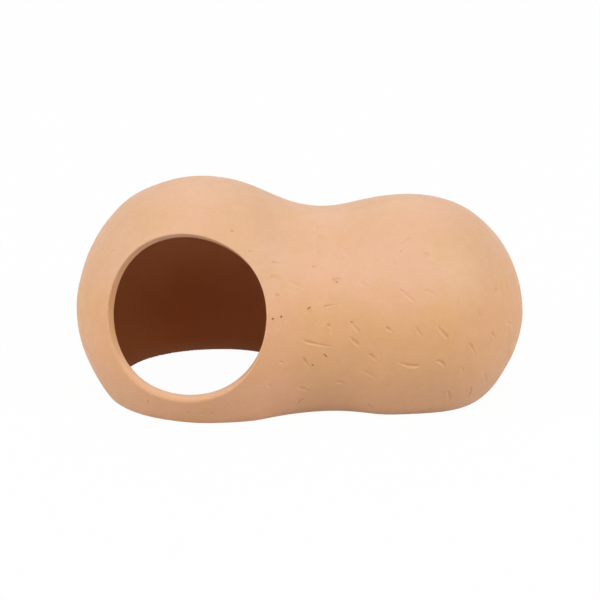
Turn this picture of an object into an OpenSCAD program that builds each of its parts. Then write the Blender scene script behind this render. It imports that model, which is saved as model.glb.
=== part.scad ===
/* [Body] */
// Length from end to end
house_length = 140; // [124:1:160]
// Radius of the large round lobe, which holds the entrance
large_lobe_r = 42; // [38:0.5:46]
// Radius of the small round lobe
small_lobe_r = 36.5; // [32:0.5:40]
// Radius of the hollow curve that blends the two lobes at the waist
waist_curve_r = 48; // [30:1:80]
// Height of the line through both lobe centres over the ground
axis_height = 25; // [20:0.2:30]

/* [Clay wall] */
// Thickness of the clay, the same all over
wall = 3.5; // [2.5:0.1:5]

/* [Entrance] */
// Clear diameter of the entrance, at its narrow inner edge
entrance_d = 48.6; // [36:0.2:54]
// Angle at which the cut through the wall opens outwards, all round
entrance_flare = 18; // [5:1:25]
// Angle by which the entrance faces out towards the near end
entrance_turn = 11; // [0:1:25]
// Angle by which the entrance faces up
entrance_lift = 15; // [5:0.5:25]
// Radius to which the cut's outer and inner edges are rubbed round
lip_r = 0.8; // [0.3:0.1:1.5]

/* [Hidden] */

$fn = 96;
clay_colour = [0.86, 0.67, 0.50];

// Places of the lobe centres along the house
large_lobe_x = large_lobe_r - house_length / 2;
small_lobe_x = house_length / 2 - small_lobe_r;

// The waist curve's centre lies where its circle touches both lobe circles
lobe_spacing = small_lobe_x - large_lobe_x;
reach_to_large = large_lobe_r + waist_curve_r;
reach_to_small = small_lobe_r + waist_curve_r;
waist_from_large = (reach_to_large ^ 2 - reach_to_small ^ 2 + lobe_spacing ^ 2) / (2 * lobe_spacing);
waist_curve_x = large_lobe_x + waist_from_large;
waist_curve_out = sqrt(reach_to_large ^ 2 - waist_from_large ^ 2);

// The entrance's cut through the wall, as [out, up] from its axis and the large lobe's centre
entrance_r = entrance_d / 2;
hollow_r = large_lobe_r - wall;
cut_foot = [entrance_r, sqrt(hollow_r ^ 2 - entrance_r ^ 2)];
cut_way = [sin(entrance_flare), cos(entrance_flare)];
into_clay = [cos(entrance_flare), -sin(entrance_flare)];
// A lip can take up no more than this share of the wall
lip_share = 0.4;
lip = min(lip_r, lip_share * wall);
// How far a lip's circle crosses each face beside it, so that the two meet in a clean line
lip_bite = 0.01;
// Slope at which the cutter leaves the outer lip, for the clay that stands proud of the ball at the waist
rim_slope = 25;

// How far a cutter reaches past the clay that it cuts
clear_cut = 10;
cutter_size = 2 * house_length;

// Half outline of the body, drawn beside its axis, as two circles and the hollow curve between them.
// inset is the depth under the outer face at which the outline is taken.
module half_outline(inset) {
    intersection() {
        union() {
            translate([0, large_lobe_x])
                circle(r = large_lobe_r - inset);
            translate([0, small_lobe_x])
                circle(r = small_lobe_r - inset);
            difference() {
                polygon([[0, large_lobe_x], [waist_curve_out, waist_curve_x], [0, small_lobe_x]]);
                translate([waist_curve_out, waist_curve_x])
                    circle(r = waist_curve_r + inset);
            }
        }
        translate([0, -house_length])
            square([house_length, 2 * house_length]);
    }
}

// The whole round body, turned about its lying axis, before it is cut off at the ground
module round_body(inset) {
    translate([0, 0, axis_height])
        rotate([0, 90, 0])
            rotate_extrude()
                half_outline(inset);
}

module below_ground() {
    translate([-cutter_size / 2, -cutter_size / 2, -cutter_size])
        cube(cutter_size);
}

// Hollow clay body with an open base and a flat foot rim
module hollow_body() {
    difference() {
        round_body(0);
        round_body(wall);
        below_ground();
    }
}

// Centre of a lip's circle, which touches the cut and lies at a given reach from the lobe's centre
function lip_centre(reach) =
    let (beside = cut_foot + lip * into_clay)
    let (up = beside * cut_way)
    beside + (sqrt(up ^ 2 - beside * beside + reach ^ 2) - up) * cut_way;

outer_lip = lip_centre(large_lobe_r - lip + lip_bite);
inner_lip = lip_centre(hollow_r + lip - lip_bite);

// The entrance cuts away the large lobe's widest place in front, so its lip is what reaches farthest
front_tilt = acos(cos(entrance_turn) * cos(entrance_lift));
front_reach = outer_lip[1] * cos(front_tilt) + outer_lip[0] * sin(front_tilt) + lip;
// How far the house moves forward or back to stand centred over the origin
set_forward = (large_lobe_r - front_reach) / 2;

// Cutter for the entrance, turned about an axis through the large lobe's centre.
// The cut's two edges are left as true rounds on the ball's outer and inner faces.
module entrance_cutter() {
    rim = outer_lip * large_lobe_r / norm(outer_lip);
    rim_angle = atan2(rim[1], rim[0]) - 90 + rim_slope;
    flank = lip - lip_bite;
    rotate_extrude()
        difference() {
            polygon([
                [0, inner_lip[1] - clear_cut],
                inner_lip - clear_cut * inner_lip / norm(inner_lip),
                inner_lip,
                inner_lip - flank * into_clay,
                outer_lip - flank * into_clay,
                outer_lip,
                rim,
                rim + clear_cut * [cos(rim_angle), sin(rim_angle)],
                [0, large_lobe_r + clear_cut]
            ]);
            translate(outer_lip)
                circle(r = lip);
            translate(inner_lip)
                circle(r = lip);
        }
}

// The house is one thrown and joined piece of fired clay
module house_shell() {
    color(clay_colour)
        translate([0, -set_forward, 0])
            difference() {
                hollow_body();
                translate([large_lobe_x, 0, axis_height])
                    rotate([90 - entrance_lift, 0, -entrance_turn])
                        entrance_cutter();
            }
}

house_shell();
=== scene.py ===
"""Looks of the terracotta small animal house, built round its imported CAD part.

The shell is a mesh drawn onto a smooth field that repeats the part's driving sizes, with what the plain
solid leaves out: the uneven hand-made form, rounded edges, and the gouges and pits in the clay.
Shape work is done in millimetres in the part's own frame, and the mesh is written in metres.
"""

import math

import bpy
import numpy as np
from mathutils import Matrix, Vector


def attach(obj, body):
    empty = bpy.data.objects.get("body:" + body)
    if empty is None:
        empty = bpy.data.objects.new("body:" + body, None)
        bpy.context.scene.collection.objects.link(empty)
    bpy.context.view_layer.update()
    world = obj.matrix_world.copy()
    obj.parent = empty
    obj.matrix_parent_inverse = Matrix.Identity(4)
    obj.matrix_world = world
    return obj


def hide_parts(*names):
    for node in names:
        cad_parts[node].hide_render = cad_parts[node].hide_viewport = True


MM = 0.001

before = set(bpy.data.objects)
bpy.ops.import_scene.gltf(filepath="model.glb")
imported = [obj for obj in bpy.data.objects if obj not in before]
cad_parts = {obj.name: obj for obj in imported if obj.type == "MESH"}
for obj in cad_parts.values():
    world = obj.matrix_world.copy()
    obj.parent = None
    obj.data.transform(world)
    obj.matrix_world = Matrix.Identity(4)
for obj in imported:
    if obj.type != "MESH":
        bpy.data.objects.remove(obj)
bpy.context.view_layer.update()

# Driving sizes, as in the CAD part
HOUSE_LENGTH = 140.0
LARGE_LOBE_R = 42.0
SMALL_LOBE_R = 36.5
WAIST_CURVE_R = 48.0
AXIS_HEIGHT = 25.0
WALL = 3.5
SET_FORWARD = 1.28            # the part's move along Y that centres it over the origin

LARGE_LOBE_X = LARGE_LOBE_R - HOUSE_LENGTH / 2
SMALL_LOBE_X = HOUSE_LENGTH / 2 - SMALL_LOBE_R
LOBE_SPACING = SMALL_LOBE_X - LARGE_LOBE_X
REACH_LARGE = LARGE_LOBE_R + WAIST_CURVE_R
REACH_SMALL = SMALL_LOBE_R + WAIST_CURVE_R
WAIST_FROM_LARGE = (REACH_LARGE ** 2 - REACH_SMALL ** 2 + LOBE_SPACING ** 2) / (2 * LOBE_SPACING)
WAIST_X = LARGE_LOBE_X + WAIST_FROM_LARGE
WAIST_OUT = math.sqrt(REACH_LARGE ** 2 - WAIST_FROM_LARGE ** 2)

# How the hand-made piece departs from them
# The axis lies a little higher at the ends, and sags where the two lobes were joined
AXIS_RISE = 0.8
SAG = 2.4
SAG_X = -7.4
SAG_WIDTH = 22.0
SLOPE = -0.1
SAG_FOOT = 15.0
# Small swells of the radius along the house: place, height
SWELLS = ((-52, 0.45), (-8, 0.2), (10, 0.15), (24, 0.3), (40, -0.5), (54, 0.55), (66, -0.35))
SWELL_WIDTH = 11.0
SWELL_END = 6.0               # over this length the swells fade out at each end
# Places where the wall bulges a little or, with a height below zero, is pressed in: x, y, z, reach, height
BULGES = (
    (-68, -1, 41, 9, -0.5),
    (-64, -9, 5, 8, -0.5),
    (-45, -30, 1, 12, 0.5),
    (-8, 11, 56, 6, 0.5),
    (6, 11, 55, 5, -0.3),
    (18, 11, 57, 6, 0.4),
    (62, 8, 44, 7, 0.4),
    (-58, 9, 53, 7, 0.25),
    (-43, 12, 63, 7, -0.3),
    (-18, 13, 64, 7, 0.25),
    (28, 11, 59, 6, -0.2),
    (55, 9, 52, 7, 0.12),
    (69, -5, 22, 6, 0.2),
)
# Soft lumps all over, a tenth of a millimetre or so high
LUMP_HEIGHT = 0.035
LUMP_SPAN = (11.0, 32.0)
LUMP_WAVES = 14
LUMP_SEED = 5

# Entrance
HOLE_TURN = math.radians(-10.1)
HOLE_LIFT = math.radians(14.75)
HOLE_OUTER_R = 25.71          # where the cut meets the outer face
HOLE_INNER_R = 24.2           # where it meets the inner face
HOLE_INNER_RISE = 0.23        # the cut leans up by this much from the outer face to the inner
# The cut's wobble round the hole: waves round, across part, up part
HOLE_WOBBLE = ((2, -0.24, 0.07), (3, 0.32, 0.04), (4, -0.23, 0.03))
# On the right the cut stands straighter: its outer edge lies further in and its inner edge further out
HOLE_RIGHT_OUTER = -0.95
HOLE_RIGHT_INNER = 0.25
HOLE_RIGHT_AT = 0.03          # its angle round the hole
HOLE_RIGHT_NARROW = 2.2       # how narrow that place is
# How far past the wall's two faces the cut's lean and its straighter place go on, as shares of the wall
LEAN_REACH = (-0.5, 1.5)
STRAIGHT_REACH = (-0.3, 1.3)
# Rounding of the cut's outer edge, what is added to it round the top left and the foot, the rounding of the
# cut's inner edge, and that of the foot's edges
HOLE_EDGE = 0.25
HOLE_EDGE_TOP_LEFT = 0.35
HOLE_EDGE_BOTTOM = 1.1
HOLE_EDGE_INNER = 0.4
FOOT_EDGE = 0.4
# Angles: where what is added at the top left is least, and how far from straight down the foot's is most
TOP_LEFT_FROM = -math.pi / 4
BOTTOM_FROM = -0.25

# Mesh fineness
# Longest mesh edges: at the entrance's outer edge, at its inner one and at the foot's two
VOXEL = 1.6
LIP_FINE = 0.3
LIP_INNER_FINE = 0.55
FOOT_FINE = 0.52
EDGE_BAND = 0.6               # how far from those edges it holds
MARK_FINE = 0.28              # longest mesh edge in a mark, as a share of the mark's width
SHALLOW_MARK_FINE = 0.4       # where a gouge is no deeper than the next value
SHALLOW = 0.25
HIDDEN_MARK_FINE = 0.5
MARK_BAND = 1.0               # how far that fineness reaches beside a mark's line, as a share of its width
MARK_REACH = 0.5              # how far past a mark's ends and width its depth is worked out
FINE_SLOPE = 0.8              # how fast the mesh may coarsen away from a fine place
COARSE = 1.6                  # longest mesh edge away from all of them, in voxels
SPLIT_ROUNDS = 6
FOLDED = 0.2                  # cosine of the bend beyond which two triangles count as folded back
UNFOLD_ROUNDS = 20
UNFOLD_FREE = 7               # rounds at the end that let those points leave the surface a little

# The photograph's view
IMAGE_SIDE = 600
SENSOR = 36.0
VIEW_TURN = math.radians(1.3)
VIEW_LIFT = math.radians(20.61)
VIEW_DISTANCE = 1500.0
PX_PER_MM = 3.181
VIEW_AIM_PX = (-0.61, 7.585)  # how far right of and below the centre the body's middle lies


def unit(v):
    v = np.asarray(v, float)
    return v / np.linalg.norm(v, axis=-1, keepdims=True)


# Shape field
def sag(x):
    return SAG * np.exp(-((x - SAG_X) / SAG_WIDTH) ** 2) - SLOPE * x / (HOUSE_LENGTH / 2) - AXIS_RISE


def swell(x):
    fade = np.clip((HOUSE_LENGTH / 2 - np.abs(x)) / SWELL_END, 0, 1)
    return fade * sum(h * np.exp(-((x - at) / SWELL_WIDTH) ** 2) for at, h in SWELLS)


def make_lumps():
    rng = np.random.default_rng(LUMP_SEED)
    ways = unit(rng.normal(size=(LUMP_WAVES, 3)))
    spans = rng.uniform(*LUMP_SPAN, LUMP_WAVES)
    return ways * (2 * math.pi / spans)[:, None], rng.uniform(0, 2 * math.pi, LUMP_WAVES)


LUMP_WAYS, LUMP_PHASES = make_lumps()


def lumps(p):
    return LUMP_HEIGHT * np.sin(p @ LUMP_WAYS.T + LUMP_PHASES).sum(1)


def bulges(p):
    return sum(h * np.exp(-((p - [x, y, z]) ** 2).sum(1) / reach ** 2) for x, y, z, reach, h in BULGES)


def straightened(p):
    """The point beside the body's straight axis, before the sag."""
    q = p.copy()
    q[:, 1] += SET_FORWARD
    q[:, 2] += sag(p[:, 0]) - AXIS_HEIGHT
    return q


def body_distance(q):
    """Distance to the plain outer face of two lobes and the waist's curve; negative inside."""
    x, out = q[:, 0], np.hypot(q[:, 1], q[:, 2])
    to_large = np.hypot(x - LARGE_LOBE_X, out) - LARGE_LOBE_R
    to_small = np.hypot(x - SMALL_LOBE_X, out) - SMALL_LOBE_R
    to_waist = WAIST_CURVE_R - np.hypot(x - WAIST_X, out - WAIST_OUT)
    # which side of the lines from the waist curve's centre to each lobe's centre
    past_large = (x - LARGE_LOBE_X) * WAIST_OUT > out * (WAIST_X - LARGE_LOBE_X)
    past_small = (SMALL_LOBE_X - x) * WAIST_OUT > out * (SMALL_LOBE_X - WAIST_X)
    return np.where(~past_large, to_large, np.where(~past_small, to_small, to_waist))


HOLE_WAY = np.array([math.sin(HOLE_TURN) * math.cos(HOLE_LIFT),
                     -math.cos(HOLE_TURN) * math.cos(HOLE_LIFT),
                     math.sin(HOLE_LIFT)])
HOLE_ACROSS = np.array([math.cos(HOLE_TURN), math.sin(HOLE_TURN), 0.0])
HOLE_UP = np.cross(HOLE_WAY, HOLE_ACROSS)
HOLE_CENTRE = np.array([LARGE_LOBE_X, -SET_FORWARD, AXIS_HEIGHT + AXIS_RISE])
HOLE_OUTER_AT = math.sqrt(LARGE_LOBE_R ** 2 - HOLE_OUTER_R ** 2)
HOLE_INNER_AT = math.sqrt((LARGE_LOBE_R - WALL) ** 2 - HOLE_INNER_R ** 2)
HOLE_FLARE = (HOLE_OUTER_R - HOLE_INNER_R) / (HOLE_OUTER_AT - HOLE_INNER_AT)


def hole_distance(p):
    """Distance out from the entrance's cut face; negative in the opening. With the angle round the hole."""
    d = p - HOLE_CENTRE
    along, across, up = d @ HOLE_WAY, d @ HOLE_ACROSS, d @ HOLE_UP
    deep = (HOLE_OUTER_AT - along) / (HOLE_OUTER_AT - HOLE_INNER_AT)
    up = up - HOLE_INNER_RISE * np.clip(deep, *LEAN_REACH)
    angle = np.arctan2(up, across)
    wobble = sum(c * np.cos(n * angle) + s * np.sin(n * angle) for n, c, s in HOLE_WOBBLE)
    right = np.clip(np.cos(angle - HOLE_RIGHT_AT), 0, 1) ** HOLE_RIGHT_NARROW
    deep = np.clip(deep, *STRAIGHT_REACH)
    straighter = right * (HOLE_RIGHT_OUTER + (HOLE_RIGHT_INNER - HOLE_RIGHT_OUTER) * deep)
    cut_r = HOLE_INNER_R + HOLE_FLARE * (along - HOLE_INNER_AT) + wobble + straighter
    dist = (np.hypot(across, up) - cut_r) / math.hypot(1, HOLE_FLARE)
    # on the far side of the body there is no cut
    return np.where(along > 0, dist, LARGE_LOBE_R), angle


def rounded_and(a, b, r):
    """The overlap of two solids, with the edge between them rounded to radius r."""
    corner = np.hypot(np.maximum(a + r, 0), np.maximum(b + r, 0)) - r
    return np.where((a > -r) & (b > -r), corner, np.maximum(a, b))


def clay(p, with_hole=True):
    """Distance to the finished shell's surface, negative in the clay."""
    plain = body_distance(straightened(p))
    swollen = swell(p[:, 0]) + bulges(p)
    uneven = lumps(p)
    outer = plain - swollen - uneven
    inner = -(plain - swollen + WALL) + uneven
    shell = rounded_and(np.maximum(outer, inner), -p[:, 2], FOOT_EDGE)
    if not with_hole:
        return shell
    dist, angle = hole_distance(p)
    low = np.clip(-np.sin(angle - BOTTOM_FROM), 0, 1)
    top_left = 0.5 - 0.5 * np.cos(angle - TOP_LEFT_FROM)
    edge = HOLE_EDGE + HOLE_EDGE_BOTTOM * low + HOLE_EDGE_TOP_LEFT * top_left
    deep = np.clip(-outer / WALL, 0, 1)
    return rounded_and(shell, -dist, edge + (HOLE_EDGE_INNER - edge) * deep)


def slope_of(field, p, step=0.03):
    """The field's gradient at points, which leads out of the clay."""
    out = np.empty_like(p)
    for i in range(3):
        d = np.zeros(3)
        d[i] = step
        out[:, i] = (field(p + d) - field(p - d)) / (2 * step)
    return out


def onto(field, p, rounds=6, longest=0.8):
    """Moves points onto the field's surface."""
    p = p.copy()
    for _ in range(rounds):
        value = field(p)
        slope = slope_of(field, p)
        step = -value[:, None] * slope / np.maximum((slope ** 2).sum(1), 0.25)[:, None]
        size = np.linalg.norm(step, axis=1)
        p += step * np.minimum(1, longest / np.maximum(size, 1e-9))[:, None]
    return p


# Camera, and points under a pixel
VIEW_BACK = np.array([math.sin(VIEW_TURN) * math.cos(VIEW_LIFT),
                      -math.cos(VIEW_TURN) * math.cos(VIEW_LIFT),
                      math.sin(VIEW_LIFT)])
VIEW_RIGHT = np.array([math.cos(VIEW_TURN), math.sin(VIEW_TURN), 0.0])
VIEW_UP = np.cross(VIEW_BACK, VIEW_RIGHT)
BODY_MIDDLE = np.array([0.0, -SET_FORWARD, AXIS_HEIGHT + AXIS_RISE])
EYE = BODY_MIDDLE + VIEW_DISTANCE * VIEW_BACK
AIM = (BODY_MIDDLE - VIEW_AIM_PX[0] / PX_PER_MM * VIEW_RIGHT
       + VIEW_AIM_PX[1] / PX_PER_MM * VIEW_UP)
FOCAL_PX = PX_PER_MM * VIEW_DISTANCE


def make_camera():
    data = bpy.data.cameras.new("camera")
    data.sensor_fit = "HORIZONTAL"
    data.sensor_width = SENSOR
    data.lens = FOCAL_PX / IMAGE_SIDE * SENSOR
    data.clip_start = 0.05
    data.clip_end = 20.0
    cam = bpy.data.objects.new("camera", data)
    cam.location = Vector(EYE * MM)
    cam.rotation_euler = Vector((AIM - EYE) * MM).to_track_quat("-Z", "Y").to_euler()
    bpy.context.scene.collection.objects.link(cam)
    bpy.context.scene.camera = cam


def march(start, way, first, steps=60, caution=0.9):
    """Where rays from outside meet the outer face, as if the entrance weren't cut."""
    t = np.full(len(way), float(first))
    for _ in range(steps):
        t += caution * clay(start + t[:, None] * way, with_hole=False)
    return start + t[:, None] * way


def under_pixels(pixels):
    """The points of the outer face that show at pixels of the photograph."""
    ahead = unit(AIM - EYE)
    up = np.cross(VIEW_RIGHT, ahead)
    off = (np.asarray(pixels, float) - IMAGE_SIDE / 2) / FOCAL_PX
    rays = unit(ahead + off[:, :1] * VIEW_RIGHT - off[:, 1:] * up)
    return march(EYE, rays, VIEW_DISTANCE - 1.5 * LARGE_LOBE_R)


# Gouges and pits
# Gouges that the photograph shows: start x, y and end x, y in its pixels, then how far the gouge bows
# (a share of its length, towards its soft flank), its width and depth in millimetres, and the share of
# its length, from the start, over which it keeps its full depth.
GOUGES = (
    (420.1, 365.6, 397.9, 361.8, -0.07, 1.35, 0.47, 0.55),
    (303.0, 340.4, 338.2, 347.6, -0.03, 1.06, 0.50, 0.20),
    (448.6, 338.9, 436.4, 324.3, 0.00, 1.28, 0.47, 0.55),
    (436.1, 360.3, 445.3, 368.9, 0.16, 1.21, 0.45, 0.60),
    (469.0, 342.9, 476.1, 357.6, 0.03, 1.14, 0.40, 0.30),
    (359.5, 345.2, 348.9, 336.3, 0.00, 1.35, 0.47, 0.55),
    (359.8, 332.9, 350.4, 321.6, 0.02, 1.21, 0.45, 0.25),
    (421.8, 336.0, 413.9, 325.0, 0.00, 0.92, 0.33, 0.55),
    (323.4, 306.9, 337.6, 305.2, 0.04, 0.99, 0.40, 0.20),
    (327.0, 324.3, 332.0, 328.6, 0.05, 1.06, 0.45, 0.30),
    (386.2, 327.2, 393.4, 332.8, 0.00, 1.06, 0.40, 0.40),
    (491.0, 331.6, 496.0, 339.0, 0.00, 1.21, 0.38, 0.50),
    (370.0, 353.8, 377.3, 361.6, 0.02, 1.14, 0.42, 0.50),
    (303.0, 357.6, 309.9, 369.6, 0.02, 0.99, 0.44, 0.25),
    (446.4, 389.8, 448.6, 402.6, 0.08, 1.06, 0.36, 0.60),
    (470.6, 386.8, 468.1, 398.0, 0.06, 0.99, 0.34, 0.60),
    (368.0, 403.7, 374.3, 407.9, 0.05, 1.06, 0.36, 0.70),
    (303.8, 398.2, 296.6, 406.8, -0.14, 0.99, 0.39, 0.50),
    (298.2, 387.6, 310.8, 391.8, 0.03, 1.21, 0.30, 0.50),
    (335.7, 381.7, 344.5, 382.6, 0.00, 1.06, 0.35, 0.60),
    (331.3, 279.0, 341.8, 277.9, -0.05, 0.78, 0.34, 0.70),
    (312.0, 266.6, 318.8, 266.2, 0.00, 0.78, 0.34, 0.30),
    (405.3, 293.6, 415.7, 303.0, 0.00, 1.06, 0.28, 0.60),
    (479.0, 309.5, 481.5, 323.0, 0.00, 0.92, 0.24, 0.50),
    (462.1, 366.9, 463.0, 372.7, 0.00, 0.85, 0.24, 0.60),
    (275.6, 295.1, 281.0, 296.2, 0.08, 0.85, 0.30, 0.60),
    (270.4, 276.4, 283.2, 277.7, 0.03, 1.35, 0.30, 0.60),
    (271.4, 261.6, 282.0, 263.2, 0.00, 0.90, 0.36, 0.30),
    (290.6, 281.6, 305.6, 288.8, 0.00, 1.14, 0.23, 0.50),
    (361.0, 282.2, 373.5, 288.4, 0.00, 1.14, 0.21, 0.50),
    (399.9, 289.8, 407.2, 294.5, 0.00, 0.85, 0.25, 0.60),
    (424.4, 289.8, 436.3, 299.2, 0.12, 1.14, 0.21, 0.60),
    (493.3, 289.4, 498.3, 289.9, 0.00, 0.85, 0.28, 0.60),
    (506.5, 323.4, 512.5, 322.8, 0.00, 0.99, 0.28, 0.60),
    (360.2, 369.4, 378.2, 378.8, 0.02, 1.28, 0.20, 0.60),
    (279.0, 362.0, 283.8, 362.6, 0.00, 0.85, 0.28, 0.60),
    (484.0, 373.0, 486.4, 384.5, 0.00, 0.99, 0.20, 0.60),
    (217.0, 182.3, 219.4, 183.0, 0.00, 0.78, 0.33, 0.60),
    (217.2, 177.9, 222.9, 178.7, 0.00, 0.85, 0.29, 0.60),
    (110.6, 253.2, 116.2, 249.4, 0.10, 0.85, 0.33, 0.60),
    (131.8, 404.6, 135.0, 407.0, 0.00, 1.14, 0.32, 0.60),
    (148.6, 400.4, 149.6, 404.4, 0.00, 1.10, 0.32, 0.60),
    (187.0, 412.4, 190.6, 413.4, 0.00, 1.14, 0.32, 0.60),
    (198.6, 414.2, 204.2, 413.0, 0.00, 1.10, 0.32, 0.60),
    (210.4, 413.2, 214.4, 414.2, 0.00, 1.10, 0.32, 0.60),
    (267.4, 384.6, 271.2, 386.8, 0.00, 1.14, 0.24, 0.60),
    (404.6, 239.1, 412.2, 238.9, 0.00, 0.85, 0.30, 0.60),
    (388.0, 232.8, 391.4, 234.8, 0.00, 0.78, 0.24, 0.60),
    (424.0, 252.8, 431.2, 255.6, 0.00, 1.00, 0.33, 0.60),
    (386.6, 258.2, 398.2, 265.2, 0.00, 1.00, 0.24, 0.60),
    (337.0, 249.6, 341.6, 251.4, 0.00, 0.85, 0.22, 0.60),
    (345.6, 253.0, 349.8, 254.8, 0.00, 0.78, 0.21, 0.60),
    (316.8, 236.2, 331.4, 237.8, 0.00, 0.85, 0.24, 0.60),
    (438.6, 280.0, 443.8, 282.4, 0.00, 0.92, 0.20, 0.60),
    (306.7, 309.9, 311.0, 306.6, 0.00, 0.72, 0.62, 0.70),
    (324.0, 354.2, 327.3, 358.2, 0.00, 0.72, 0.62, 0.70),
    (401.0, 243.9, 407.4, 242.0, 0.00, 0.80, 0.24, 0.60),
    (271.8, 242.4, 276.4, 242.8, 0.00, 0.80, 0.17, 0.60),
    (316.6, 251.4, 322.6, 251.8, 0.00, 0.80, 0.24, 0.60),
    (248.4, 250.6, 256.0, 250.4, 0.00, 1.00, 0.33, 0.50),
    (162.4, 211.4, 167.6, 213.4, 0.00, 0.80, 0.20, 0.60),
    (206.4, 208.7, 212.0, 208.3, 0.00, 0.80, 0.20, 0.60),
    (226.6, 210.6, 234.4, 211.4, 0.00, 0.80, 0.20, 0.60),
)
# Pits that the photograph shows: x, y in its pixels, then width and depth in millimetres
PITS = (
    (281.2, 316.9, 0.80, 0.60),
    (273.0, 318.8, 0.65, 0.65),
    (312.9, 365.4, 0.65, 0.50),
    (351.6, 322.4, 0.85, 0.35),
    (336.7, 282.2, 0.60, 0.35),
    (231.9, 231.0, 0.70, 0.35),
    (401.0, 251.2, 0.60, 0.20),
)
# On the sides that the photograph doesn't show, the same kind of gouges lie at random
HIDDEN_GOUGES = 56
HIDDEN_PITS = 12
HIDDEN_SEED = 11
GOUGE_LENGTH = (1.6, 6.0)
GOUGE_WIDTH = (0.75, 1.3)
GOUGE_DEPTH = (0.12, 0.45)
GOUGE_SLANT = (-75, 15)
GOUGE_BOW = (-0.1, 0.1)
GOUGE_HEAD = (0.25, 0.7)
PIT_WIDTH = (0.5, 1.0)
PIT_DEPTH = (0.3, 0.7)
CLEAR_OF_FOOT = 5.0
CLEAR_OF_CUT = 3.0
# A gouge is a groove with a long soft flank above its deepest line and a short steep one below it, beyond
# which the dragged clay stands up a little
SOFT_FLANK = 0.8              # width of each flank, as a share of the gouge's width
STEEP_FLANK = 0.5
DEEPEST_AT = -0.12            # place of the deepest line beside the gouge's own line
SOFT_CURVE = 1.4
STEEP_CURVE = 0.9
BURR = 0.25                   # height of the dragged clay, as a share of the gouge's depth
BURR_WIDTH = 0.3
SOFT_WAY = unit(0.8 * VIEW_UP + 0.6 * VIEW_RIGHT)
GOUGE_RISE = 0.15             # share of its length over which a gouge reaches its full depth
END_WIDTH = 0.45              # width of a gouge's two ends, as a share of its full width
FACE_REACH = 1.8              # a gouge reaches only clay this close to its middle's plane


def face_out(p):
    return unit(slope_of(lambda q: clay(q, with_hole=False), p))


def gouge(a, b, out, bow, width, depth, head):
    along = b - a
    length = float(np.linalg.norm(along))
    along = along / length
    across = unit(np.cross(out, along))
    if across @ SOFT_WAY < 0:
        across = -across
    return dict(a=a, b=b, along=along, across=across, out=out, length=length,
                bow=bow * length, width=width, depth=depth, head=head,
                fine=MARK_FINE if depth > SHALLOW else SHALLOW_MARK_FINE)


def pit(at, out, width, depth):
    return dict(a=at, b=at, out=out, width=width / 2, depth=depth, length=0.0, fine=MARK_FINE)


def hidden_places(rng, count):
    """Random points of the outer face, clear of the foot and the entrance, on the unseen sides."""
    turn = rng.uniform(0, 2 * math.pi, 20 * count)
    x = rng.uniform(-0.97, 0.97, 20 * count) * HOUSE_LENGTH / 2
    towards = np.stack([0.35 * x / HOUSE_LENGTH, np.cos(turn), np.sin(turn)], 1)
    middle = np.stack([0.75 * x, np.full(len(x), -SET_FORWARD), np.full(len(x), AXIS_HEIGHT)], 1)
    towards = unit(towards + np.stack([np.sign(x) * (np.abs(x) / 70) ** 4, 0 * x, 0 * x], 1))
    p = march(middle + 60 * towards, -towards, 0)
    out = face_out(p)
    dist, _ = hole_distance(p)
    keep = (p[:, 2] > CLEAR_OF_FOOT) & (dist > CLEAR_OF_CUT) & (out @ VIEW_BACK < 0)
    return p[keep][:count], out[keep][:count]


def all_marks():
    rng = np.random.default_rng(HIDDEN_SEED)
    table = np.array(GOUGES)
    starts, ends = under_pixels(table[:, 0:2]), under_pixels(table[:, 2:4])
    outs = face_out((starts + ends) / 2)
    marks = [gouge(a, b, out, *row) for a, b, out, row in zip(starts, ends, outs, table[:, 4:])]
    spots = np.array(PITS)
    places = under_pixels(spots[:, 0:2])
    marks += [pit(p, out, *row) for p, out, row in zip(places, face_out(places), spots[:, 2:])]
    seen = len(marks)
    for p, out in zip(*hidden_places(rng, HIDDEN_GOUGES)):
        level = unit(np.cross(out, [0.0, 0.0, 1.0]))
        slant = math.radians(rng.uniform(*GOUGE_SLANT))
        way = math.cos(slant) * level + math.sin(slant) * np.cross(level, out)
        half = rng.uniform(*GOUGE_LENGTH) / 2 * way
        ends = onto(lambda q: clay(q, with_hole=False), np.stack([p - half, p + half]))
        marks.append(gouge(ends[0], ends[1], out, rng.uniform(*GOUGE_BOW), rng.uniform(*GOUGE_WIDTH),
                           rng.uniform(*GOUGE_DEPTH), rng.uniform(*GOUGE_HEAD)))
    for p, out in zip(*hidden_places(rng, HIDDEN_PITS)):
        marks.append(pit(p, out, rng.uniform(*PIT_WIDTH), rng.uniform(*PIT_DEPTH)))
    for mark in marks[seen:]:
        mark["fine"] = HIDDEN_MARK_FINE
    return marks


def beside(p, mark):
    """How far points lie from a mark's line."""
    way = mark["b"] - mark["a"]
    t = np.clip((p - mark["a"]) @ way / max(way @ way, 1e-9), 0, 1)
    return np.linalg.norm(p - mark["a"] - t[:, None] * way, axis=1)


def near(p, mark, more):
    reach = mark["length"] / 2 + mark["width"] + more
    return np.where(np.abs(p - (mark["a"] + mark["b"]) / 2).max(1) < reach)[0]


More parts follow.
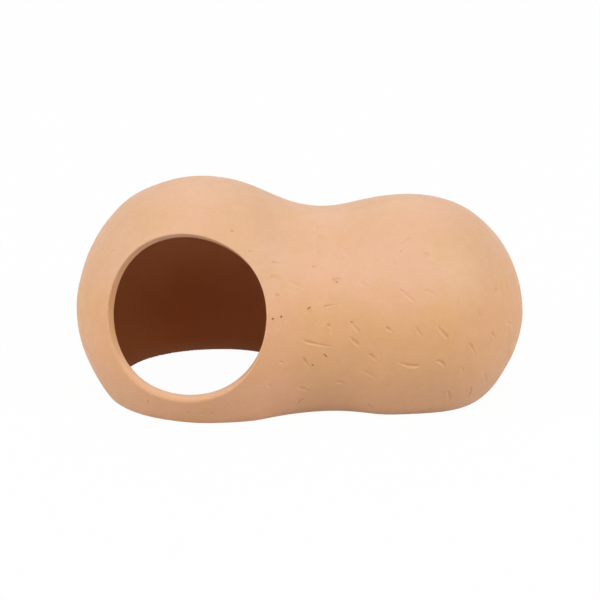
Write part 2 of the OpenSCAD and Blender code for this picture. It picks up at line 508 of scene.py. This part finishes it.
def mark_depth(p, mark):
    """How deep a mark is at points on the outer face."""
    d = p - mark["a"]
    on_face = np.abs(d @ mark["out"]) < FACE_REACH
    if mark["length"] == 0:
        r = np.linalg.norm(d, axis=1) / mark["width"]
        return on_face * mark["depth"] * np.sqrt(np.clip(1 - r ** 2, 0, 1))
    t = d @ mark["along"] / mark["length"]
    full = np.sin(np.clip(t / GOUGE_RISE, 0, 1) * math.pi / 2)
    full = np.minimum(full, np.clip((1 - t) / (1 - mark["head"]), 0, 1))
    width = mark["width"] * (END_WIDTH + (1 - END_WIDTH) * full)
    v = (d @ mark["across"] - mark["bow"] * 4 * t * (1 - t)) / width
    v = v - DEEPEST_AT
    soft = np.clip(1 - v / SOFT_FLANK, 0, 1) ** SOFT_CURVE
    steep = np.clip(1 + v / STEEP_FLANK, 0, 1) ** STEEP_CURVE
    burr = BURR * np.exp(-((v + STEEP_FLANK + BURR_WIDTH / 2) / BURR_WIDTH) ** 2)
    return on_face * mark["depth"] * full * (np.where(v > 0, soft, steep) - burr)


# Mesh
def remeshed(node, voxel):
    """Points (mm) and triangles of the CAD node's mesh, redrawn with even cells."""
    data = node.data.copy()
    obj = bpy.data.objects.new("redraw", data)
    bpy.context.scene.collection.objects.link(obj)
    weld = obj.modifiers.new("weld", "WELD")
    weld.merge_threshold = 1e-6
    mod = obj.modifiers.new("remesh", "REMESH")
    mod.mode = "VOXEL"
    mod.voxel_size = voxel * MM
    mod.adaptivity = 0.0
    graph = bpy.context.evaluated_depsgraph_get()
    out = obj.evaluated_get(graph).to_mesh()
    points = np.empty(len(out.vertices) * 3)
    out.vertices.foreach_get("co", points)
    out.calc_loop_triangles()
    tris = np.empty(len(out.loop_triangles) * 3, np.int64)
    out.loop_triangles.foreach_get("vertices", tris)
    obj.to_mesh_clear()
    bpy.data.objects.remove(obj)
    bpy.data.meshes.remove(data)
    return points.reshape(-1, 3) / MM, tris.reshape(-1, 3)


def neighbours_middle(points, tris):
    ends = tris[:, [0, 1, 1, 2, 2, 0]].reshape(-1, 2)
    count = np.bincount(ends[:, 0], minlength=len(points))[:, None]
    total = [np.bincount(ends[:, 0], points[ends[:, 1], i], len(points)) for i in range(3)]
    return np.stack(total, 1) / count


def relaxed(points, tris, rounds=3, share=0.5):
    """Evens out the mesh: points move towards their neighbours' middle and back onto the surface."""
    for _ in range(rounds):
        points = points + share * (neighbours_middle(points, tris) - points)
        points = onto(clay, points, rounds=1)
    return points


def folded_back(points, tris):
    """Points of the triangles that fold back over a neighbour. Every edge has two triangles."""
    a, b, c = points[tris].transpose(1, 0, 2)
    out = unit(np.cross(b - a, c - a))
    edges = np.sort(tris[:, [[0, 1], [1, 2], [2, 0]]].reshape(-1, 2), axis=1)
    order = np.lexsort(edges.T)
    one, other = order[0::2] // 3, order[1::2] // 3
    folded = (out[one] * out[other]).sum(1) < FOLDED
    return np.unique(tris[np.concatenate([one[folded], other[folded]])])


def unfolded(points, tris):
    """Smooths the places where triangles fold back, drawn onto the surface in all but the last rounds."""
    points = points.copy()
    for i in range(UNFOLD_ROUNDS):
        at = folded_back(points, tris)
        points[at] = neighbours_middle(points, tris)[at]
        if i < UNFOLD_ROUNDS - UNFOLD_FREE:
            points[at] = onto(clay, points[at], rounds=1)
    return points


def split_long(points, tris, wanted):
    """One round of splitting the edges that are longer than wanted there. Says how many it split."""
    pairs = np.sort(tris[:, [[0, 1], [1, 2], [2, 0]]].reshape(-1, 2), axis=1)
    edges, which = np.unique(pairs, axis=0, return_inverse=True)
    which = which.reshape(-1, 3)
    a, b = points[edges[:, 0]], points[edges[:, 1]]
    middle = (a + b) / 2
    split = np.linalg.norm(a - b, axis=1) > wanted(middle)
    if not split.any():
        return points, tris, 0
    new_at = np.full(len(edges), -1)
    new_at[split] = len(points) + np.arange(split.sum())
    points = np.concatenate([points, middle[split]])
    mids = new_at[which]
    count = (mids >= 0).sum(1)
    out = [tris[count == 0]]
    # three split edges: four triangles
    t, m = tris[count == 3], mids[count == 3]
    out += [np.stack([t[:, 0], m[:, 0], m[:, 2]], 1), np.stack([m[:, 0], t[:, 1], m[:, 1]], 1),
            np.stack([m[:, 2], m[:, 1], t[:, 2]], 1), m]
    for k in range(3):
        # one split edge, k: turned so that it comes first
        turn = [(k + i) % 3 for i in range(3)]
        pick = (count == 1) & (mids[:, k] >= 0)
        t, m = tris[pick][:, turn], mids[pick][:, k]
        out += [np.stack([t[:, 0], m, t[:, 2]], 1), np.stack([m, t[:, 1], t[:, 2]], 1)]
        # two split edges, all but k: the whole edge comes first
        pick = (count == 2) & (mids[:, k] < 0)
        t, m = tris[pick][:, turn], mids[pick][:, turn]
        m1, m2 = m[:, 1], m[:, 2]
        out.append(np.stack([m2, m1, t[:, 2]], 1))
        d1 = np.linalg.norm(points[t[:, 0]] - points[m1], axis=1)
        d2 = np.linalg.norm(points[t[:, 1]] - points[m2], axis=1)
        s = d1 <= d2
        out += [np.stack([t[s, 0], t[s, 1], m1[s]], 1), np.stack([t[s, 0], m1[s], m2[s]], 1)]
        s = ~s
        out += [np.stack([t[s, 0], t[s, 1], m2[s]], 1), np.stack([t[s, 1], m1[s], m2[s]], 1)]
    return points, np.concatenate(out), int(split.sum())


def wanted_edge(p, marks):
    """The longest edge that the mesh may have at each point."""
    want = np.full(len(p), VOXEL * COARSE)
    face = body_distance(straightened(p)) - swell(p[:, 0]) - bulges(p)
    dist, _ = hole_distance(p)
    edges = ((dist, face, LIP_FINE), (dist, face + WALL, LIP_INNER_FINE),
             (p[:, 2], face, FOOT_FINE), (p[:, 2], face + WALL, FOOT_FINE))
    for from_one, from_other, fine in edges:
        away = np.maximum(np.hypot(from_one, from_other) - EDGE_BAND, 0)
        want = np.minimum(want, fine + FINE_SLOPE * away)
    for mark in marks:
        i = near(p, mark, VOXEL / FINE_SLOPE)
        i = i[np.abs((p[i] - mark["a"]) @ mark["out"]) < FACE_REACH]
        away = np.maximum(beside(p[i], mark) - MARK_BAND * mark["width"], 0)
        want[i] = np.minimum(want[i], mark["fine"] * mark["width"] + FINE_SLOPE * away)
    return want


def build_shell():
    points, tris = remeshed(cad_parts["house_shell"], VOXEL)
    # the wall is thin, so the CAD mesh sags first and is drawn onto the field's surface from close by
    points[:, 2] -= sag(points[:, 0]) * np.clip(points[:, 2] / SAG_FOOT, 0, 1)
    points = relaxed(onto(clay, points, rounds=4), tris, rounds=6)
    marks = all_marks()
    for _ in range(SPLIT_ROUNDS):
        points, tris, more = split_long(points, tris, lambda p: wanted_edge(p, marks))
        points = relaxed(points, tris, rounds=2)
        if not more:
            break
    points = unfolded(onto(clay, points, rounds=2), tris)
    out = unit(slope_of(clay, points))
    deep = np.zeros(len(points))
    for mark in marks:
        i = near(points, mark, MARK_REACH)
        deep[i] += mark_depth(points[i], mark)
    points -= deep[:, None] * out
    data = bpy.data.meshes.new("shell")
    data.from_pydata((points * MM).tolist(), [], tris.tolist())
    data.update()
    data.shade_smooth()
    obj = bpy.data.objects.new("clay_shell", data)
    bpy.context.scene.collection.objects.link(obj)
    return obj


# Terracotta
CLAY = (0.670, 0.366, 0.193)        # linear colour of the fired clay's face
CLAY_PINK = (0.690, 0.372, 0.214)
CLAY_OCHRE = (0.668, 0.370, 0.181)
CLAY_DUST = (0.730, 0.455, 0.285)   # edges, level streaks and fine bright specks
CLAY_DARK = (0.400, 0.175, 0.085)   # open pores, and the painted shade in the marks
CLAY_IN_DEEP_SHADE = (0.580, 0.200, 0.055)     # the hollow's clay under painted shade, where it is darkest
CLAY_IN_LIGHTER_SHADE = (0.660, 0.275, 0.105)
# Where the painted shade in the hollow is darkest, and over which distances from there it turns pale
DEEPEST_SHADE_INSIDE_AT = (-0.031, 0.032, 0.012)
SHADE_INSIDE_REACH = (0.006, 0.028)
# Paler band along the hollow's foot, painted light of the floor's bounce: its colour, its height and how
# much of it shows
CLAY_FLOOR_BOUNCE_INSIDE = (0.640, 0.380, 0.240)
FOOT_BAND = 0.004
FOOT_BAND_SHARE = 0.45
CUT_PAINTED_LIGHT = (0.820, 0.490, 0.300)   # lower half of the entrance's cut face, painted paler: painted light on the face that looks up
CUT_LIGHT_BELOW = (0.028, 0.012)     # heights between which that painted light comes in
CUT_TOP_ABOVE = (0.028, 0.042)      # and those between which the painted shade on the upper part does
CUT_REACH = (0.0016, 0.0010)        # how far from the cut's cone the cut face reaches
CUT_FACING = (0.74, 0.54)           # and how much it may face the way the entrance does
# Tint of the clay at the foot, at the height of the entrance's middle and at the crown, and where it turns:
# painted light, with the paler and bluer crown a painted sheen and the parts lower down warmer
FOOT_LIGHT_TINT = (1.010, 0.990, 0.935)
MIDDLE_LIGHT_TINT = (1.015, 1.000, 0.885)
CROWN_PAINTED_SHEEN = (0.990, 1.060, 1.120)
FOOT_TO_MIDDLE = (0.010, 0.022)
MIDDLE_TO_CROWN = (0.030, 0.052)
CUT_TOP_PAINTED_SHADE = (0.915, 0.805, 0.690)    # painted shade on the upper part of the entrance's cut face, which looks down
MOTTLE_TINT = (0.990, 0.965, 0.940)
# Noise scales, per metre: the clay's soft clouds, its ochre patches, streaks, mottling and grain, then its
# roughness and the bump's grain and streaks
CLOUD_SCALE = 34
OCHRE_SCALE = 80
STREAK_SCALE = 60
MOTTLE_SCALE = 260
GRAIN_SCALE = 1100
ROUGH_SCALE = 300
BUMP_GRAIN_SCALE = 1500
BUMP_STREAK_SCALE = 160
STREAK_STRETCH = (0.5, 1.0, 6.0)
BUMP_STREAK_STRETCH = (0.4, 1.0, 2.5)
BUMP_GRAIN_SHARE = 0.35
# How much the pale streaks and specks, the dark pores, the marks' shade and the pale edges show at most
STREAK_SHARE = 0.22
SPECK_SHARE = 0.3
PORE_SHARE = 0.12
MARK_SHADE = 0.35
EDGE_PALE = 0.25
MARK_BEND = (0.47, 0.38)      # pointiness over which clay counts as lying in a mark
EDGE_BEND = (0.515, 0.56)       # and over which it counts as an edge
LOOKS_IN = (-0.55, -0.85)       # how far a face has to look back to the axis to be the hollow's
ROUGHNESS = (0.44, 0.58)
GLOSS = (0.5, 0.2)              # specular level outside and in the hollow
BUMP_STRENGTH = 0.5
BUMP_DEPTH = 0.00006


class Nodes:
    """Adds nodes to a material and links what they take in."""

    def __init__(self, material):
        material.use_nodes = True
        self.tree = material.node_tree
        self.shader = self.tree.nodes["Principled BSDF"]

    def add(self, kind, settings=None, **inputs):
        node = self.tree.nodes.new(kind)
        for name, value in (settings or {}).items():
            setattr(node, name, value)
        for name, value in inputs.items():
            self.give(node.inputs[int(name[1:])], value)
        return node

    def give(self, socket, value):
        if isinstance(value, bpy.types.NodeSocket):
            self.tree.links.new(value, socket)
        else:
            socket.default_value = value

    def noise(self, place, scale, detail=2.0, rough=0.5, stretch=None):
        if stretch:
            place = self.add("ShaderNodeMapping", i0=place, i3=stretch).outputs[0]
        node = self.add("ShaderNodeTexNoise")
        for name, value in (("Vector", place), ("Scale", scale), ("Detail", detail), ("Roughness", rough)):
            self.give(node.inputs[name], value)
        return node.outputs["Fac"]

    def between(self, value, low, high, to_low=0.0, to_high=1.0):
        node = self.add("ShaderNodeMapRange", dict(interpolation_type="SMOOTHSTEP"))
        for i, v in enumerate((value, low, high, to_low, to_high)):
            self.give(node.inputs[i], v)
        return node.outputs[0]

    def blend(self, share, a, b):
        node = self.add("ShaderNodeMix", dict(data_type="RGBA"))
        self.give(node.inputs[0], share)
        self.give(node.inputs[6], a if isinstance(a, bpy.types.NodeSocket) else (*a, 1))
        self.give(node.inputs[7], b if isinstance(b, bpy.types.NodeSocket) else (*b, 1))
        return node.outputs[2]

    def tinted(self, colour, tint):
        return self.add("ShaderNodeMix", dict(data_type="RGBA", blend_type="MULTIPLY"), i0=1.0, i6=colour,
                        i7=tint).outputs[2]

    def maths(self, work, a, b, c=0.0):
        return self.add("ShaderNodeMath", dict(operation=work), i0=a, i1=b, i2=c).outputs[0]

    def vector(self, work, a, b, out=0):
        return self.add("ShaderNodeVectorMath", dict(operation=work), i0=a, i1=b).outputs[out]


def inner_face(n, place, facing):
    """1 on the hollow's face and 0 on the outer one, by whether the face looks back to the body's axis."""
    along = n.add("ShaderNodeSeparateXYZ", i0=place).outputs[0]
    along = n.add("ShaderNodeClamp", i0=along, i1=LARGE_LOBE_X * MM, i2=SMALL_LOBE_X * MM).outputs[0]
    axis = n.add("ShaderNodeCombineXYZ", i0=along, i1=-SET_FORWARD * MM, i2=AXIS_HEIGHT * MM).outputs[0]
    way = n.vector("NORMALIZE", n.vector("SUBTRACT", place, axis), (0, 0, 0))
    return n.between(n.vector("DOT_PRODUCT", way, facing, out=1), *LOOKS_IN)


def cut_face(n, place, facing):
    """1 on the entrance's cut face and 0 away from it, by the distance from its cone and the facing."""
    way = n.vector("SUBTRACT", place, tuple(HOLE_CENTRE * MM))
    along = n.vector("DOT_PRODUCT", way, tuple(HOLE_WAY), out=1)
    out = n.vector("LENGTH", n.vector("CROSS_PRODUCT", way, tuple(HOLE_WAY)), (0, 0, 0), out=1)
    cone = n.maths("MULTIPLY_ADD", along, HOLE_FLARE, (HOLE_INNER_R - HOLE_FLARE * HOLE_INNER_AT) * MM)
    near_cone = n.between(n.maths("SUBTRACT", out, cone), *CUT_REACH)
    near_cone = n.maths("MULTIPLY", near_cone, n.between(along, 0.0, 0.001))
    turned_in = n.between(n.vector("DOT_PRODUCT", facing, tuple(HOLE_WAY), out=1), *CUT_FACING)
    return n.maths("MULTIPLY", near_cone, turned_in)


def clay_colour(n, place, facing, inside, bend):
    clouds = n.between(n.noise(place, CLOUD_SCALE, 3.0), 0.42, 0.62)
    colour = n.blend(clouds, CLAY_PINK, CLAY)
    patches = n.between(n.noise(place, OCHRE_SCALE, 4.0, 0.55), 0.5, 0.72)
    colour = n.blend(patches, colour, CLAY_OCHRE)
    # faint level streaks
    streaks = n.noise(place, STREAK_SCALE, 3.0, 0.6, stretch=STREAK_STRETCH)
    colour = n.blend(n.between(streaks, 0.55, 0.85, 0.0, STREAK_SHARE), colour, CLAY_DUST)
    grain = n.noise(place, GRAIN_SCALE, 3.0, 0.6)
    colour = n.blend(n.between(grain, 0.5, 0.8, 0.0, SPECK_SHARE), colour, CLAY_DUST)
    colour = n.blend(n.between(grain, 0.42, 0.2, 0.0, PORE_SHARE), colour, CLAY_DARK)
    mottle = n.between(n.noise(place, MOTTLE_SCALE, 3.0, 0.6), 0.35, 0.65)
    colour = n.tinted(colour, n.blend(mottle, (1, 1, 1), MOTTLE_TINT))
    height = n.add("ShaderNodeSeparateXYZ", i0=place).outputs[2]
    # Painted light by height: a painted sheen makes the crown paler and bluer, the parts lower down stay
    # warmer
    tint = n.blend(n.between(height, *FOOT_TO_MIDDLE), FOOT_LIGHT_TINT, MIDDLE_LIGHT_TINT)
    tint = n.blend(n.between(height, *MIDDLE_TO_CROWN), tint, CROWN_PAINTED_SHEEN)
    colour = n.tinted(colour, tint)
    # The hollow: the clay with painted shade, darkest at one place and paler away from it
    from_dark = n.vector("DISTANCE", place, DEEPEST_SHADE_INSIDE_AT, out=1)
    hollow = n.blend(n.between(from_dark, *SHADE_INSIDE_REACH), CLAY_IN_DEEP_SHADE, CLAY_IN_LIGHTER_SHADE)
    # Painted light of the floor's bounce along the hollow's foot
    hollow = n.blend(n.between(height, FOOT_BAND, 0.0, 0.0, FOOT_BAND_SHARE), hollow, CLAY_FLOOR_BOUNCE_INSIDE)
    colour = n.blend(inside, colour, hollow)
    cut = cut_face(n, place, facing)
    # Painted light on the lower half of the entrance's cut face, which looks up
    colour = n.blend(n.maths("MULTIPLY", cut, n.between(height, *CUT_LIGHT_BELOW)), colour, CUT_PAINTED_LIGHT)
    # Painted shade on the upper part of the cut face, which looks down
    top = n.maths("MULTIPLY", cut, n.between(height, *CUT_TOP_ABOVE))
    colour = n.tinted(colour, n.blend(top, (1, 1, 1), CUT_TOP_PAINTED_SHADE))
    # Painted shade in the marks, found by their low pointiness
    colour = n.blend(n.between(bend, *MARK_BEND, 0.0, MARK_SHADE), colour, CLAY_DARK)
    return n.blend(n.between(bend, *EDGE_BEND, 0.0, EDGE_PALE), colour, CLAY_DUST)


def clay_relief(n, place):
    """Height of the fine grain and of soft level streaks, for the bump."""
    grain = n.noise(place, BUMP_GRAIN_SCALE, 3.0, 0.65)
    streaks = n.noise(place, BUMP_STREAK_SCALE, 2.0, 0.5, stretch=BUMP_STREAK_STRETCH)
    return n.maths("ADD", n.maths("MULTIPLY", grain, BUMP_GRAIN_SHARE), streaks)


def make_terracotta():
    mat = bpy.data.materials.new("terracotta")
    n = Nodes(mat)
    place = n.add("ShaderNodeTexCoord").outputs["Object"]
    geometry = n.add("ShaderNodeNewGeometry")
    bend = geometry.outputs["Pointiness"]
    facing = geometry.outputs["Normal"]
    inside = inner_face(n, place, facing)
    rough = n.between(n.noise(place, ROUGH_SCALE, 4.0, 0.6), 0.3, 0.7, *ROUGHNESS)
    bump = n.add("ShaderNodeBump")
    n.give(bump.inputs["Strength"], BUMP_STRENGTH)
    n.give(bump.inputs["Distance"], BUMP_DEPTH)
    n.give(bump.inputs["Height"], clay_relief(n, place))
    n.give(n.shader.inputs["Base Color"], clay_colour(n, place, facing, inside, bend))
    n.give(n.shader.inputs["Roughness"], rough)
    n.give(n.shader.inputs["Specular IOR Level"], n.between(inside, 0.0, 1.0, *GLOSS))
    n.give(n.shader.inputs["Normal"], bump.outputs[0])
    return mat


# Floor, light
FLOOR_SIDE = 8.0
FLOOR_DROP = 0.00005
FLOOR_COLOUR = (0.7, 0.7, 0.7)
FLOOR_WHITE = 0.975           # how much of the floor shows as plain white; the rest holds the shadow
ROOM_LIGHT = 0.43             # strength of the even light from all round
# Softboxes: place, diameter and watts
SOFTBOXES = {
    "softbox_left": ((-1.1, -0.5, 0.6), 0.8, 5.4),
    "softbox_right": ((1.1, -0.5, 0.6), 0.8, 4.5),
    "softbox_top_left": ((-0.7, -0.3, 1.0), 0.7, 2.5),
    "softbox_top_right": ((0.7, -0.3, 1.0), 0.7, 3.0),
    "softbox_top_front": ((0.0, -0.75, 1.0), 0.8, 2.3),
    "softbox_back": ((0.0, 0.9, 0.9), 0.9, 2.0),
}
LIT_POINT = (0.0, 0.0, 0.03)


def seen_or_mirrored(tree):
    """1 for rays from the camera and for glossy and transmission rays, 0 for those that light the object."""
    path = tree.nodes.new("ShaderNodeLightPath")
    total = path.outputs["Is Camera Ray"]
    for name in ("Is Glossy Ray", "Is Transmission Ray"):
        add = tree.nodes.new("ShaderNodeMath")
        add.operation = "ADD"
        add.use_clamp = True
        tree.links.new(total, add.inputs[0])
        tree.links.new(path.outputs[name], add.inputs[1])
        total = add.outputs[0]
    return total


def make_floor():
    bpy.ops.mesh.primitive_plane_add(size=FLOOR_SIDE, location=(0, 0, -FLOOR_DROP))
    floor = bpy.context.object
    floor.name = "floor"
    mat = bpy.data.materials.new("floor_white")
    mat.use_nodes = True
    tree = mat.node_tree
    tree.nodes.clear()
    out = tree.nodes.new("ShaderNodeOutputMaterial")
    mix = tree.nodes.new("ShaderNodeMixShader")
    matt = tree.nodes.new("ShaderNodeBsdfDiffuse")
    matt.inputs["Color"].default_value = (*FLOOR_COLOUR, 1)
    glow = tree.nodes.new("ShaderNodeEmission")
    share = tree.nodes.new("ShaderNodeMath")
    share.operation = "MULTIPLY"
    share.inputs[1].default_value = FLOOR_WHITE
    tree.links.new(seen_or_mirrored(tree), share.inputs[0])
    tree.links.new(share.outputs[0], mix.inputs[0])
    tree.links.new(matt.outputs[0], mix.inputs[1])
    tree.links.new(glow.outputs[0], mix.inputs[2])
    tree.links.new(mix.outputs[0], out.inputs["Surface"])
    floor.data.materials.append(mat)
    return floor


def make_world():
    world = bpy.data.worlds.new("studio")
    bpy.context.scene.world = world
    world.use_nodes = True
    tree = world.node_tree
    back = tree.nodes["Background"]
    back.inputs["Color"].default_value = (1, 1, 1, 1)
    level = tree.nodes.new("ShaderNodeMapRange")
    level.inputs["To Min"].default_value = ROOM_LIGHT
    level.inputs["To Max"].default_value = 1.0
    tree.links.new(seen_or_mirrored(tree), level.inputs["Value"])
    tree.links.new(level.outputs[0], back.inputs["Strength"])


def make_softboxes():
    for name, (place, size, watts) in SOFTBOXES.items():
        data = bpy.data.lights.new(name, "AREA")
        data.shape = "DISK"
        data.size = size
        data.energy = watts
        lamp = bpy.data.objects.new(name, data)
        lamp.location = place
        lamp.rotation_euler = (Vector(LIT_POINT) - Vector(place)).to_track_quat("-Z", "Y").to_euler()
        bpy.context.scene.collection.objects.link(lamp)


make_camera()
shell = build_shell()
shell.data.materials.append(make_terracotta())
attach(shell, "root")
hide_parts("house_shell")
make_floor()
make_world()
make_softboxes()
bpy.context.scene.view_settings.view_transform = "Standard"
